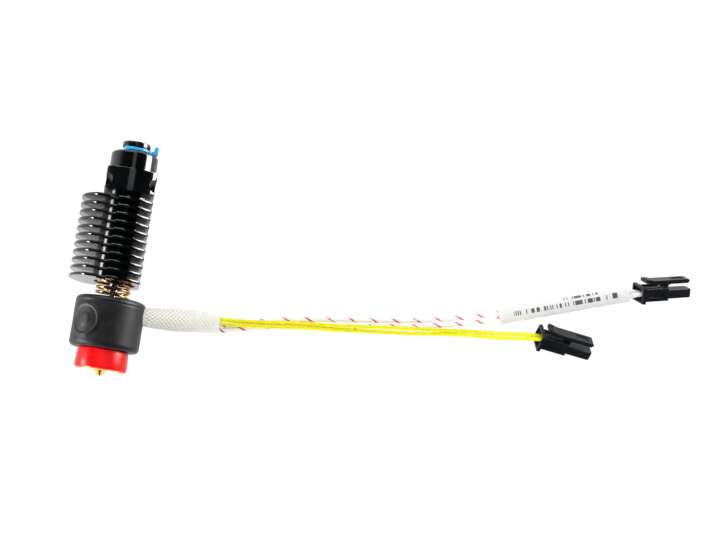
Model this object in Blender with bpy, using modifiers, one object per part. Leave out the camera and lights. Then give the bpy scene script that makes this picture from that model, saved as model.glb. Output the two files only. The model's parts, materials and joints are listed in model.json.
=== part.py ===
"""Hotend assembly, lying on the flat back of its heatsink, with its two leads laid out to the right.

Lengths below are millimetres and are turned into metres as the meshes are made. Along the hotend, a
"station" is the distance from the nozzle's tip towards the collet. The row frame has +X across the
hotend towards the leads, +Y from the nozzle's tip to the collet, and +Z up from the bench.
"""

import math

import bmesh
import bpy
from mathutils import Matrix, Vector

MM = 0.001
GAP = 0.3  # kept between pieces that touch on the real object
MERGE = 1e-5  # metres

# Where the hotend's axis runs in the row frame.
AXIS_X = 1.75
AXIS_Z = 11.0
TIP_Y = -37.55

# Filament path and nozzle.
BORE_R = 0.95
NOZZLE_R = 3.4
NOZZLE_TOP = 22.4
FLANGE_R = 6.2
HEX_R = 5.8
SOCK_R = 8.2
SOCK_BOTTOM, SOCK_TOP = 1.9, 8.0
HEATBREAK_R = 1.45
HEATBREAK_HEAD_R = 3.0
HEATBREAK_HEAD = (36.8, 46.0)

# Heater core: a soft round shell over a tube, a heater, insulation and a sensor.
CORE_R = 10.9
CORE_BOTTOM, CORE_TOP = 8.3, 24.25
CORE_EDGE = 1.4
CORE_WALL = 2.5
PORT_STATION = 20.4
PORT_R = 3.3
EMBLEM_R = 5.3
EMBLEM_RAISE = 0.35
EMBLEM_ANGLE = 45.0  # degrees from straight up towards -X

# Heatsink.
FIN_COUNT = 11
FIN_BOTTOM = 29.36
FIN_PITCH = 2.533
FIN_THICKNESS = 1.0
FIN_R = 11.0
LOBE_R = 14.4
SIDE_CUT_X = 7.9
NOTCH = (-5.7, -3.0)
NOTCH_FLOOR = 8.2
COLUMN_R = 7.2
NECK_BOTTOM, NECK_TOP = 57.56, 64.95
NECK_DEPTH = 11.0  # from the axis to the crown of its front, and of its back
NECK_CROWN_R = 13.3
POCKET_R = 6.4
POCKET_TOP = 35.8
NOTCH_X = 7.85
NOTCH_STATION = 60.65
NOTCH_R = 2.1
NOTCH_LEDGE_Y = 3.5  # below the axis

# Spring between the core and the heatsink.
SPRING_R = 5.1
SPRING_WIRE_R = 0.48
SPRING_TURNS = 5
SPRING_POINTS_PER_TURN = 16
SPRING_SPAN = (24.8, 35.0)

# Tube coupling at the top of the neck.
COLLAR_R = 7.5
COLLAR_TOP = 71.5
SPIGOT_R = 5.0
SPIGOT_BOTTOM = 60.0
TUBE_R = 2.15
STEM_R = 3.05
HEAD_R = 4.5
HEAD_BOTTOM, HEAD_TOP = 73.2, 75.1
CLIP_BOTTOM, CLIP_TOP = 72.1, 72.95
CLIP_R = 5.2
CLIP_TAIL_X = 7.0
CLIP_TAIL_HALF = 2.0
CLIP_TAB_TOP = 74.7

# Braided sleeve: a centre route with a radius at each point, as distance from the axis, station, height.
SLEEVE = [
    ((10.0, 20.4, 11.0), 2.95),
    ((12.5, 20.45, 10.75), 3.1),
    ((16.0, 20.8, 9.3), 3.35),
    ((20.0, 21.3, 7.2), 3.65),
    ((24.5, 21.9, 5.2), 3.75),
    ((29.5, 22.4, 4.0), 3.5),
    ((34.8, 22.7, 3.6), 3.4),
]

# Leads. Each route is a list of centre points: distance from the axis, station, height above the bench.
HEATER_WIRE_R = 0.85
SENSOR_WIRE_R = 0.65
HEATER_ROUTE_A = [
    (35.2, 22.6, 2.9), (39.5, 23.3, 1.9), (45.3, 25.0, 1.1), (52.4, 26.8, 0.95), (61.5, 28.6, 0.95),
    (74.7, 30.5, 0.95), (89.5, 32.6, 0.95), (99.9, 34.3, 0.95), (108.3, 36.0, 1.05), (117.7, 38.2, 1.5),
    (127.7, 40.8, 2.3), (141.5, 45.4, 3.1), (156.1, 50.2, 3.95), (170.7, 55.05, 4.7), (173.2, 55.5, 4.3),
    (175.0, 55.5, 4.0), (178.4, 56.3, 3.65),
]
HEATER_ROUTE_B = [
    (35.2, 20.7, 2.9), (39.7, 21.6, 1.9), (45.5, 23.1, 1.1), (52.6, 24.8, 0.95), (61.7, 26.7, 0.95),
    (75.0, 28.4, 0.95), (89.7, 30.6, 0.95), (100.1, 32.3, 0.95), (108.6, 34.0, 1.05), (118.0, 36.2, 1.5),
    (128.3, 38.85, 2.3), (142.1, 43.45, 3.1), (156.7, 48.25, 3.95), (171.3, 53.15, 4.85), (173.3, 54.0, 5.55),
    (175.3, 54.75, 5.85), (178.8, 55.55, 5.5),
]
SENSOR_ROUTE_A = [
    (35.2, 24.2, 4.6), (40.1, 24.6, 3.4), (46.7, 25.3, 2.9), (53.2, 26.0, 2.8), (61.4, 27.1, 2.8),
    (74.7, 28.3, 2.8), (89.4, 30.1, 2.65), (100.0, 31.3, 2.35), (108.7, 32.3, 1.6), (118.4, 33.5, 1.2),
    (127.9, 34.2, 1.9), (135.9, 35.0, 3.4), (141.7, 35.3, 4.3), (145.2, 34.9, 4.0),
]
SENSOR_ROUTE_B = [
    (35.2, 22.6, 5.2), (40.3, 23.0, 3.9), (46.9, 23.75, 2.95), (53.4, 24.6, 2.8), (61.6, 25.6, 2.75),
    (75.0, 26.9, 2.2), (89.9, 28.6, 1.2), (100.5, 29.7, 0.8), (109.0, 30.8, 0.8), (118.6, 31.8, 1.2),
    (128.1, 32.4, 2.1), (136.0, 33.3, 4.1), (141.7, 34.0, 5.8), (145.2, 33.6, 5.55),
]
LABEL_START = (128.0, 39.8, 2.3)
LABEL_END = (171.6, 54.33, 4.85)
LABEL_OUTER = (2.8, 2.0)
LABEL_INNER = (2.35, 1.55)

# The two connectors are one moulding. Each pose is the middle of its rear mouth, then degrees: its
# heading from +X, how far its nose dips, and how far its latch side leans up from the bench.
HEATER_CONNECTOR = ((175.15, 55.13, 4.95), 13.1, 5.9, 22.6)
SENSOR_CONNECTOR = ((141.7, 34.69, 5.08), -6.4, 4.9, 40.3)
FLANGE = ((0.0, -4.0, -2.9), (1.2, 4.0, 2.9))
BODY = ((0.8, -2.85, -2.4), (10.4, 2.85, 2.0))
NOSE = ((10.0, -2.15, -1.9), (19.3, 2.15, 1.1))
WEB = ((9.0, -1.2, 0.8), (11.0, 1.2, 2.75))
MOUTH = ((-0.5, -3.3, -2.2), (0.9, 3.3, 2.2))
CAVITY = ((0.0, -2.3, -1.8), (4.2, 2.3, 1.4))
TERMINAL_PITCH = 2.0
CHANNEL = ((4.0, -0.8, -1.2), (20.0, 0.8, 0.4))
TERMINAL = ((4.3, -0.5, -0.9), (15.0, 0.5, 0.1))
LATCH_HALF_WIDTH = 2.2
LATCH_PIVOT = (10.0, 0.0, 2.9)
LATCH_OUTLINE = [
    (1.9, 3.9), (3.2, 3.8), (4.6, 3.3), (9.0, 3.3), (9.0, 3.05), (11.0, 3.05), (11.0, 3.3), (18.0, 3.3),
    (18.7, 4.3), (18.2, 4.7), (5.2, 4.7), (3.4, 5.1), (1.9, 5.2),
]


def metres(point):
    return Vector(point) * MM


def in_row(point):
    """A point given as distance from the axis, station and height, in row-frame metres."""
    return metres((point[0] + AXIS_X, point[1] + TIP_Y, point[2]))


def arc(radius, first, last, count, centre=(0.0, 0.0)):
    """Points along an arc, with its angles in degrees."""
    angles = [math.radians(first + (last - first) * i / count) for i in range(count + 1)]
    return [(centre[0] + radius * math.cos(a), centre[1] + radius * math.sin(a)) for a in angles]


def clear_scene():
    for old in list(bpy.data.objects):
        bpy.data.objects.remove(old, do_unlink=True)


def new_collection(name, hidden=False):
    collection = bpy.data.collections.new(name)
    bpy.context.scene.collection.children.link(collection)
    collection.hide_render = hidden
    return collection


def new_material(name, color, roughness, metallic=0.0):
    material = bpy.data.materials.new(name)
    material.use_nodes = True
    shader = material.node_tree.nodes["Principled BSDF"]
    shader.inputs["Base Color"].default_value = (*color, 1.0)
    shader.inputs["Roughness"].default_value = roughness
    shader.inputs["Metallic"].default_value = metallic
    return material


def put(obj, collection, parent=None, material=None):
    """Links an object where it belongs. Without a material it is a cutter."""
    collection.objects.link(obj)
    obj.parent = parent
    if material:
        obj.data.materials.append(material)
    else:
        obj.hide_render = True
        obj.display_type = "WIRE"
    return obj


def empty(name, matrix):
    obj = bpy.data.objects.new(name, None)
    PARTS.objects.link(obj)
    obj.matrix_world = matrix
    return obj


def turned(name, profile, collection, parent, material=None, steps=32, closed=True):
    """A profile of (radius, station) pairs turned about the parent's Z axis, outer side top to bottom."""
    mesh = bpy.data.meshes.new(name)
    form = bmesh.new()
    points = [form.verts.new(metres((radius, 0.0, station))) for radius, station in profile]
    ends = points[1:] + points[:1] if closed else points[1:]
    for start, end in zip(points, ends):
        form.edges.new((start, end))
    form.to_mesh(mesh)
    form.free()
    obj = put(bpy.data.objects.new(name, mesh), collection, parent, material)
    screw = obj.modifiers.new("turn", "SCREW")
    screw.axis = "Z"
    screw.steps = screw.render_steps = steps
    screw.use_merge_vertices = True
    screw.merge_threshold = MERGE
    return obj


def as_mesh(curve_object, name, collection, parent, material):
    """Turns a curve into a welded mesh object in the same place."""
    bpy.context.view_layer.update()
    graph = bpy.context.evaluated_depsgraph_get()
    mesh = bpy.data.meshes.new_from_object(curve_object.evaluated_get(graph))
    place = curve_object.matrix_world.copy()
    bpy.data.objects.remove(curve_object, do_unlink=True)
    form = bmesh.new()
    form.from_mesh(mesh)
    bmesh.ops.remove_doubles(form, verts=form.verts, dist=MERGE)
    form.to_mesh(mesh)
    form.free()
    mesh.materials.clear()
    mesh.name = name
    obj = put(bpy.data.objects.new(name, mesh), collection, parent, material)
    obj.matrix_basis = place
    return obj


def extruded(name, outlines, half_height, place, collection, parent=None, material=None):
    """Flat closed outlines, in millimetres, filled and given a thickness both ways."""
    curve = bpy.data.curves.new(name + "_outline", "CURVE")
    curve.dimensions = "2D"
    curve.fill_mode = "BOTH"
    curve.extrude = half_height * MM
    for outline in outlines:
        spline = curve.splines.new("POLY")
        spline.points.add(len(outline) - 1)
        for point, (x, y) in zip(spline.points, outline):
            point.co = (x * MM, y * MM, 0.0, 1.0)
        spline.use_cyclic_u = True
    drawn = bpy.data.objects.new(name + "_outline", curve)
    bpy.context.scene.collection.objects.link(drawn)
    drawn.matrix_world = place
    return as_mesh(drawn, name, collection, parent, material)


def boxes(name, corners, collection, parent, material=None):
    """One object of one or more boxes, each from its low to its high corner."""
    mesh = bpy.data.meshes.new(name)
    form = bmesh.new()
    for low, high in corners:
        size = metres(high) - metres(low)
        middle = (metres(high) + metres(low)) / 2
        place = Matrix.Translation(middle) @ Matrix.Diagonal((*size, 1.0))
        bmesh.ops.create_cube(form, size=1.0, matrix=place)
    form.to_mesh(mesh)
    form.free()
    return put(bpy.data.objects.new(name, mesh), collection, parent, material)


def rod(name, radius, start, end, collection, parent, material=None, sides=24):
    """A round rod between two points of the parent's frame, in millimetres."""
    mesh = bpy.data.meshes.new(name)
    form = bmesh.new()
    along = metres(end) - metres(start)
    turn = along.to_track_quat("Z", "Y").to_matrix().to_4x4()
    place = Matrix.Translation((metres(start) + metres(end)) / 2) @ turn
    bmesh.ops.create_cone(
        form, cap_ends=True, segments=sides, radius1=radius * MM, radius2=radius * MM,
        depth=along.length, matrix=place,
    )
    form.to_mesh(mesh)
    form.free()
    return put(bpy.data.objects.new(name, mesh), collection, parent, material)


def combine(target, other, operation):
    step = target.modifiers.new(operation.lower() + "_" + other.name, "BOOLEAN")
    step.operation = operation
    step.solver = "EXACT"
    step.object = other


def smooth_route(points, spacing):
    """Points read from a smooth curve through the route's own points, about one spacing apart."""
    route = [Vector(p) for p in points]
    route = [2 * route[0] - route[1]] + route + [2 * route[-1] - route[-2]]
    found = []
    for before, start, end, after in zip(route, route[1:], route[2:], route[3:]):
        count = max(1, round((end - start).length / spacing))
        for i in range(count):
            t = i / count
            found.append(0.5 * (
                2 * start + (end - before) * t + (2 * before - 5 * start + 4 * end - after) * t**2
                + (3 * start - before - 3 * end + after) * t**3
            ))
    return found + [route[-2]]


def tube(name, points, radius, material, factors=None, sides=2):
    """A round tube through points given in metres."""
    curve = bpy.data.curves.new(name, "CURVE")
    curve.dimensions = "3D"
    curve.bevel_depth = radius * MM
    curve.bevel_resolution = sides
    curve.use_fill_caps = True
    spline = curve.splines.new("POLY")
    spline.points.add(len(points) - 1)
    for i, (point, place) in enumerate(zip(spline.points, points)):
        point.co = (*place, 1.0)
        point.radius = factors[i] if factors else 1.0
    return put(bpy.data.objects.new(name, curve), PARTS, None, material)


def make_nozzle():
    turned("nozzle", [
        (BORE_R, NOZZLE_TOP), (NOZZLE_R, NOZZLE_TOP), (NOZZLE_R, SOCK_TOP), (HEX_R, SOCK_TOP), (HEX_R, 2.9),
        (FLANGE_R, 2.9), (FLANGE_R, 1.8), (2.4, 1.8), (0.55, 0.0), (0.2, 0.0), (0.2, 1.2), (BORE_R, 3.0),
    ], PARTS, AXIS, BRASS, 24)
    turned("nozzle_sock", [
        (HEX_R + GAP, SOCK_TOP), (SOCK_R - 0.3, SOCK_TOP), (SOCK_R - 0.1, 5.0), (SOCK_R, 2.7),
        (SOCK_R - 0.25, 2.1), (SOCK_R - 0.8, SOCK_BOTTOM), (FLANGE_R + GAP, SOCK_BOTTOM),
        (FLANGE_R + GAP, 3.2), (HEX_R + GAP, 3.2),
    ], PARTS, AXIS, RED_SILICONE)
    low, high = HEATBREAK_HEAD
    turned("heatbreak", [
        (BORE_R, high), (HEATBREAK_HEAD_R, high), (HEATBREAK_HEAD_R, low), (HEATBREAK_R, low),
        (HEATBREAK_R, NOZZLE_TOP + GAP), (BORE_R, NOZZLE_TOP + GAP),
    ], PARTS, AXIS, STEEL, 24)


def make_core():
    inner = CORE_R - CORE_WALL
    centre_r = CORE_R - CORE_EDGE
    top_edge = arc(CORE_EDGE, 90, 0, 4, (centre_r, CORE_TOP - CORE_EDGE))
    bottom_edge = arc(CORE_EDGE, 0, -90, 4, (centre_r, CORE_BOTTOM + CORE_EDGE))
    shell = turned("core_shell", [
        (6.3, CORE_TOP), *top_edge, *bottom_edge, (3.8, CORE_BOTTOM), (3.8, 9.2), (inner, 9.2),
        (inner, 23.0), (6.3, 23.0),
    ], PARTS, AXIS, BLACK_SILICONE, 48)
    middle = (CORE_BOTTOM + CORE_TOP) / 2
    lean = math.radians(EMBLEM_ANGLE)
    out = Vector((-math.sin(lean), -math.cos(lean), 0.0))
    start = out * (inner + 0.6) + Vector((0, 0, middle))
    end = out * (CORE_R + EMBLEM_RAISE) + Vector((0, 0, middle))
    combine(shell, rod("emblem_disc", EMBLEM_R, start, end, CUTTERS, AXIS, sides=28), "UNION")
    port = rod("port_cutter", PORT_R, (7.0, 0.0, PORT_STATION), (14.0, 0.0, PORT_STATION), CUTTERS, AXIS)
    combine(shell, port, "DIFFERENCE")

    turned("core_tube", [(3.7, 22.7), (4.6, 22.7), (4.6, 9.5), (3.7, 9.5)], PARTS, AXIS, BRASS, 24)
    turned("heater_element", [(4.9, 21.0), (6.0, 21.0), (6.0, 11.0), (4.9, 11.0)], PARTS, AXIS, CERAMIC, 24)
    insulator = turned(
        "core_insulator", [(6.3, 22.7), (8.1, 22.7), (8.1, 9.5), (6.3, 9.5)], PARTS, AXIS, CERAMIC, 24)
    pocket = rod("sensor_pocket", 0.75, (7.2, 0.0, 12.0), (7.2, 0.0, 24.0), CUTTERS, AXIS, sides=12)
    combine(insulator, pocket, "DIFFERENCE")
    rod("temperature_sensor", 0.45, (7.2, 0.0, 12.3), (7.2, 0.0, 21.5), PARTS, AXIS, STEEL, 12)
    turned("spring_seat", [(2.2, 24.0), (6.0, 24.0), (6.0, 23.1), (2.2, 23.1)], PARTS, AXIS, STEEL, 24)
    ferrule = rod("cable_ferrule", 2.9, (8.55, 0.0, PORT_STATION), (9.7, 0.0, PORT_STATION), PARTS, AXIS, STEEL)
    hole = rod("ferrule_hole", 2.1, (8.0, 0.0, PORT_STATION), (10.5, 0.0, PORT_STATION), CUTTERS, AXIS)
    combine(ferrule, hole, "DIFFERENCE")


def make_spring():
    low, high = SPRING_SPAN
    count = SPRING_TURNS * SPRING_POINTS_PER_TURN
    points = []
    for i in range(count + 1):
        turn = 2 * math.pi * i / SPRING_POINTS_PER_TURN
        station = low + (high - low) * i / count
        points.append(in_row((SPRING_R * math.cos(turn), station, AXIS_Z + SPRING_R * math.sin(turn))))
    tube("core_spring", points, SPRING_WIRE_R, COPPER)


def fin_outline():
    """The fins seen along the axis: round on the right with a side cut, a flat-sided lobe on the left."""
    right = math.degrees(math.acos(SIDE_CUT_X / FIN_R))
    notch_left, notch_right = NOTCH
    notch = math.degrees(math.acos(notch_right / FIN_R))
    lobe = 180 - math.degrees(math.asin(FIN_R / LOBE_R))
    upper = arc(FIN_R, right, notch, 8) + [
        (notch_right, NOTCH_FLOOR), (notch_left, NOTCH_FLOOR), (notch_left, FIN_R),
    ]
    tip = arc(LOBE_R, lobe, 360 - lobe, 14)
    return upper + tip + [(x, -y) for x, y in reversed(upper)]


def neck_outline():
    """The neck seen along the axis: crowned front and back, and the fins' side cut on both sides."""
    reach = math.degrees(math.asin(SIDE_CUT_X / NECK_CROWN_R))
    offset = NECK_CROWN_R - NECK_DEPTH
    front = arc(NECK_CROWN_R, -90 - reach, -90 + reach, 12, (0.0, offset))
    return front + arc(NECK_CROWN_R, 90 - reach, 90 + reach, 12, (0.0, -offset))


def make_heatsink():
    fins_top = FIN_BOTTOM + (FIN_COUNT - 1) * FIN_PITCH + FIN_THICKNESS
    half = (fins_top - FIN_BOTTOM) / 2
    place = Matrix.Translation((0.0, 0.0, (FIN_BOTTOM + half) * MM))
    heatsink = extruded("heatsink", [fin_outline()], half, place, PARTS, AXIS, BLACK_ANODISED)
    column = turned("column", [
        (0.0, NECK_BOTTOM + 0.5), (COLUMN_R, NECK_BOTTOM + 0.5), (COLUMN_R, fins_top - 0.5),
        (0.0, fins_top - 0.5),
    ], CUTTERS, AXIS, steps=48, closed=False)
    combine(heatsink, column, "UNION")
    tall = (NECK_TOP - NECK_BOTTOM) / 2
    place = Matrix.Translation((0.0, 0.0, (NECK_BOTTOM + tall) * MM))
    neck = extruded("neck", [neck_outline()], tall, place, CUTTERS, AXIS)
    combine(heatsink, neck, "UNION")
    for i in range(FIN_COUNT - 1):
        low = FIN_BOTTOM + i * FIN_PITCH + FIN_THICKNESS
        high = FIN_BOTTOM + (i + 1) * FIN_PITCH
        slot = turned(
            f"fin_slot_{i + 1}", [(COLUMN_R, high), (20.0, high), (20.0, low), (COLUMN_R, low)],
            CUTTERS, AXIS, steps=36)
        combine(heatsink, slot, "DIFFERENCE")
    bore = turned("filament_bore", [
        (0.0, 66.0), (SPIGOT_R + GAP, 66.0), (SPIGOT_R + GAP, SPIGOT_BOTTOM - GAP), (2.2, SPIGOT_BOTTOM - GAP),
        (2.2, 46.4), (HEATBREAK_HEAD_R + GAP, 46.4), (HEATBREAK_HEAD_R + GAP, POCKET_TOP),
        (POCKET_R, POCKET_TOP), (POCKET_R, FIN_BOTTOM - 1.0), (0.0, FIN_BOTTOM - 1.0),
    ], CUTTERS, AXIS, steps=32, closed=False)
    combine(heatsink, bore, "DIFFERENCE")
    for side, name in ((-NOTCH_X, "left"), (NOTCH_X, "right")):
        ends = (side, -20.0, NOTCH_STATION), (side, NOTCH_LEDGE_Y, NOTCH_STATION)
        combine(heatsink, rod(f"neck_notch_{name}", NOTCH_R, *ends, CUTTERS, AXIS), "DIFFERENCE")


def make_coupling():
    turned("coupling_collar", [
        (STEM_R + GAP, COLLAR_TOP), (COLLAR_R - 0.7, COLLAR_TOP), (COLLAR_R, COLLAR_TOP - 0.7),
        (COLLAR_R, NECK_TOP + GAP), (SPIGOT_R, NECK_TOP + GAP), (SPIGOT_R, SPIGOT_BOTTOM),
        (2.2, SPIGOT_BOTTOM), (2.2, 62.5), (4.2, 62.5), (4.2, 67.5), (STEM_R + GAP, 68.0),
    ], PARTS, AXIS, BLACK_ANODISED, 40)
    turned("collet", [
        (TUBE_R, HEAD_TOP), (HEAD_R - 0.3, HEAD_TOP), (HEAD_R, HEAD_TOP - 0.3), (HEAD_R, HEAD_BOTTOM),
        (STEM_R, HEAD_BOTTOM), (STEM_R, 64.6), (TUBE_R, 64.6),
    ], PARTS, AXIS, BLACK_PLASTIC)
    turned("collet_teeth", [(2.3, 63.6), (3.9, 63.6), (3.9, 62.9), (2.3, 62.9)], PARTS, AXIS, STEEL, 24)
    slot = STEM_R + GAP
    tail = math.degrees(math.asin(CLIP_TAIL_HALF / CLIP_R))
    prong = 180 - math.degrees(math.asin(slot / CLIP_R))
    outline = [
        (CLIP_TAIL_X, -CLIP_TAIL_HALF), (CLIP_TAIL_X, CLIP_TAIL_HALF), *arc(CLIP_R, tail, prong, 8),
        *arc(slot, 90, -90, 10), *arc(CLIP_R, -prong, -tail, 8),
    ]
    half = (CLIP_TOP - CLIP_BOTTOM) / 2
    place = Matrix.Translation((0.0, 0.0, (CLIP_BOTTOM + half) * MM))
    clip = extruded("collet_clip", [outline], half, place, PARTS, AXIS, BLUE_PLASTIC)
    tab_low = (CLIP_TAIL_X - 1.2, -CLIP_TAIL_HALF, CLIP_BOTTOM + 0.2)
    tab = boxes("clip_tab", [(tab_low, (CLIP_TAIL_X, CLIP_TAIL_HALF, CLIP_TAB_TOP))], CUTTERS, AXIS)
    combine(clip, tab, "UNION")


def make_leads():
    points = smooth_route([in_row(place) for place, _ in SLEEVE], 2.5 * MM)
    stations = [in_row(place).x for place, _ in SLEEVE]
    radii = [radius for _, radius in SLEEVE]
    factors = []
    for point in points:
        i = max(k for k, x in enumerate(stations[:-1]) if x <= point.x + MERGE)
        share = (point.x - stations[i]) / (stations[i + 1] - stations[i])
        factors.append(radii[i] + (radii[i + 1] - radii[i]) * share)
    tube("braided_sleeve", points, 1.0, WHITE_BRAID, factors, sides=4)
    for name, route, radius, material in (
        ("heater_wire_a", HEATER_ROUTE_A, HEATER_WIRE_R, WHITE_WIRE),
        ("heater_wire_b", HEATER_ROUTE_B, HEATER_WIRE_R, WHITE_WIRE),
        ("sensor_wire_a", SENSOR_ROUTE_A, SENSOR_WIRE_R, YELLOW_WIRE),
        ("sensor_wire_b", SENSOR_ROUTE_B, SENSOR_WIRE_R, YELLOW_WIRE),
    ):
        tube(name, smooth_route([in_row(p) for p in route], 5 * radius * MM), radius, material)
    start, end = in_row(LABEL_START), in_row(LABEL_END)
    along = (end - start).normalized()
    across = Vector((0.0, 0.0, 1.0)).cross(along).normalized()
    turn = Matrix((across, along.cross(across), along)).transposed().to_4x4()
    ovals = [
        [(a * math.cos(t), b * math.sin(t)) for t in (2 * math.pi * i / 24 for i in range(24))]
        for a, b in (LABEL_OUTER, LABEL_INNER)
    ]
    half = (end - start).length / 2 / MM
    extruded("label_sleeve", ovals, half, Matrix.Translation((start + end) / 2) @ turn, PARTS, None, CLEAR_SLEEVE)


def connector_frame(pose):
    """X runs from the rear mouth to the nose and Z to the latch side."""
    mouth, heading, dip, lean = pose
    heading, dip, lean = (math.radians(a) for a in (heading, dip, lean))
    along = Vector((math.cos(heading) * math.cos(dip), math.sin(heading) * math.cos(dip), -math.sin(dip)))
    level = Vector((-math.sin(heading), math.cos(heading), 0.0))
    latch = level * math.cos(lean) + along.cross(level) * math.sin(lean)
    turn = Matrix((along, latch.cross(along), latch)).transposed().to_4x4()
    return Matrix.Translation(in_row(mouth)) @ turn


def make_connector(kind, pose):
    frame = empty(kind + "_connector", connector_frame(pose))
    housing = boxes(kind + "_connector_housing", [BODY], PARTS, frame, BLACK_NYLON)
    for label, corners in (("flange", FLANGE), ("nose", NOSE), ("web", WEB)):
        combine(housing, boxes(f"{kind}_{label}", [corners], CUTTERS, frame), "UNION")
    half = TERMINAL_PITCH / 2
    sides = [Vector((0.0, -half, 0.0)), Vector((0.0, half, 0.0))]
    for label, corners in (("mouth", [MOUTH]), ("cavity", [CAVITY]), ("channels", [
        (Vector(CHANNEL[0]) + side, Vector(CHANNEL[1]) + side) for side in sides
    ])):
        combine(housing, boxes(f"{kind}_{label}", corners, CUTTERS, frame), "DIFFERENCE")
    for label, side in zip("ab", sides):
        corners = (Vector(TERMINAL[0]) + side, Vector(TERMINAL[1]) + side)
        boxes(f"{kind}_terminal_{label}", [corners], PARTS, frame, BRASS)
    pivot = empty(kind + "_latch_pivot", frame.matrix_world @ Matrix.Translation(metres(LATCH_PIVOT)))
    outline = [(x - LATCH_PIVOT[0], z - LATCH_PIVOT[2]) for x, z in LATCH_OUTLINE]
    upright = Matrix.Rotation(math.radians(90), 4, "X")
    extruded(kind + "_connector_latch", [outline], LATCH_HALF_WIDTH, upright, PARTS, pivot, BLACK_NYLON)


clear_scene()
PARTS = new_collection("hotend_assembly")
CUTTERS = new_collection("cutters", hidden=True)
BRASS = new_material("brass", (0.62, 0.42, 0.14), 0.25, 1.0)
STEEL = new_material("steel", (0.62, 0.62, 0.6), 0.25, 1.0)
COPPER = new_material("copper_spring", (0.55, 0.33, 0.12), 0.3, 1.0)
CERAMIC = new_material("ceramic", (0.75, 0.73, 0.68), 0.8)
RED_SILICONE = new_material("red_silicone", (0.55, 0.03, 0.03), 0.5)
BLACK_SILICONE = new_material("black_silicone", (0.012, 0.012, 0.013), 0.55)
BLACK_ANODISED = new_material("black_anodised", (0.012, 0.012, 0.014), 0.2, 0.6)
BLACK_PLASTIC = new_material("black_plastic", (0.014, 0.014, 0.015), 0.3)
BLACK_NYLON = new_material("black_nylon", (0.03, 0.031, 0.034), 0.5)
BLUE_PLASTIC = new_material("blue_plastic", (0.05, 0.35, 0.75), 0.4)
WHITE_BRAID = new_material("white_braid", (0.78, 0.75, 0.68), 0.9)
WHITE_WIRE = new_material("white_wire", (0.8, 0.79, 0.75), 0.4)
YELLOW_WIRE = new_material("yellow_wire", (0.85, 0.75, 0.02), 0.3)
CLEAR_SLEEVE = new_material("clear_sleeve", (0.85, 0.85, 0.84), 0.35)
# The hotend's axis frame: local Z runs along the stations, local Y points down to the bench.
AXIS = empty("hotend_axis", Matrix.Translation(in_row((0.0, 0.0, AXIS_Z))) @ Matrix.Rotation(-math.pi / 2, 4, "X"))
make_nozzle()
make_core()
make_spring()
make_heatsink()
make_coupling()
make_leads()
make_connector("heater", HEATER_CONNECTOR)
make_connector("sensor", SENSOR_CONNECTOR)
for part in PARTS.objects:
    if part.type == "MESH":
        part.data.shade_smooth()
        part.data.set_sharp_from_angle(angle=math.radians(35))
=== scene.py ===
"""Hotend assembly: the fine surfaces and finishes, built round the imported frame.

Shapes are drawn in millimetres in the frame of the hotend's axis or of a connector, and a place matrix puts
them in the row frame in metres. Along the hotend, a "station" is the distance from the nozzle's tip.
"""

import json
import math

import bmesh
import bpy
from mathutils import Matrix, Vector, noise

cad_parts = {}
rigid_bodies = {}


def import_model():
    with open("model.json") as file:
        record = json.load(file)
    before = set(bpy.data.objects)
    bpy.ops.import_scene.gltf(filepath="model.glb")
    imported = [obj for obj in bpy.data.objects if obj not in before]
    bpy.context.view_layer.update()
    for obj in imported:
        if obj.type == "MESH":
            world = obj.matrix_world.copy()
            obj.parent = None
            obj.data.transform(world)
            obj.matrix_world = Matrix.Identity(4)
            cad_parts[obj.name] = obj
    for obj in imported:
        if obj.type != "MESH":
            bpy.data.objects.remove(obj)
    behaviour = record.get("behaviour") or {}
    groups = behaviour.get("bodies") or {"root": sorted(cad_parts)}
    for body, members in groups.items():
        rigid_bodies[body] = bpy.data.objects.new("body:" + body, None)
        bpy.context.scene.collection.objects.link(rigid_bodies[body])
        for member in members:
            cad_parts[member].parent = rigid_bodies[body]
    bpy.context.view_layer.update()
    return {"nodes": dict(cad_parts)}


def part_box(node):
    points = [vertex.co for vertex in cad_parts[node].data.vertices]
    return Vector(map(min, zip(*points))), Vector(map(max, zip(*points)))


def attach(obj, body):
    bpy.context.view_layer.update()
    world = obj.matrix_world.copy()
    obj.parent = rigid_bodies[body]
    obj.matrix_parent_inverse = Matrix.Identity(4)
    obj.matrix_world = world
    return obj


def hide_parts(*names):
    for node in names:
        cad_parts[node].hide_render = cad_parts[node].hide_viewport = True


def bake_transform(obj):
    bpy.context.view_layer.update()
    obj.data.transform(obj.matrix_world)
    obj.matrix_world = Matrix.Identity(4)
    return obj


for startup_object in list(bpy.data.objects):
    bpy.data.objects.remove(startup_object, do_unlink=True)
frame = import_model()

MM = 0.001
TAU = 2 * math.pi
MERGE = 1e-6
SCENE = bpy.context.scene

# The axis frame: local Z runs along the stations, local Y points down to the bench.
NOZZLE_LOW, NOZZLE_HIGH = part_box("nozzle")
AXIS = Vector(((NOZZLE_LOW.x + NOZZLE_HIGH.x) / 2, NOZZLE_LOW.y, (NOZZLE_LOW.z + NOZZLE_HIGH.z) / 2))
AXIS_PLACE = Matrix.Translation(AXIS) @ Matrix.Rotation(-math.pi / 2, 4, "X") @ Matrix.Scale(MM, 4)


def station_span(node):
    """First and last station of a node on the axis, in millimetres."""
    low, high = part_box(node)
    return (low.y - AXIS.y) / MM, (high.y - AXIS.y) / MM


def reach(node):
    """How far a node goes to the right of the axis, in millimetres."""
    return (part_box(node)[1].x - AXIS.x) / MM


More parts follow.
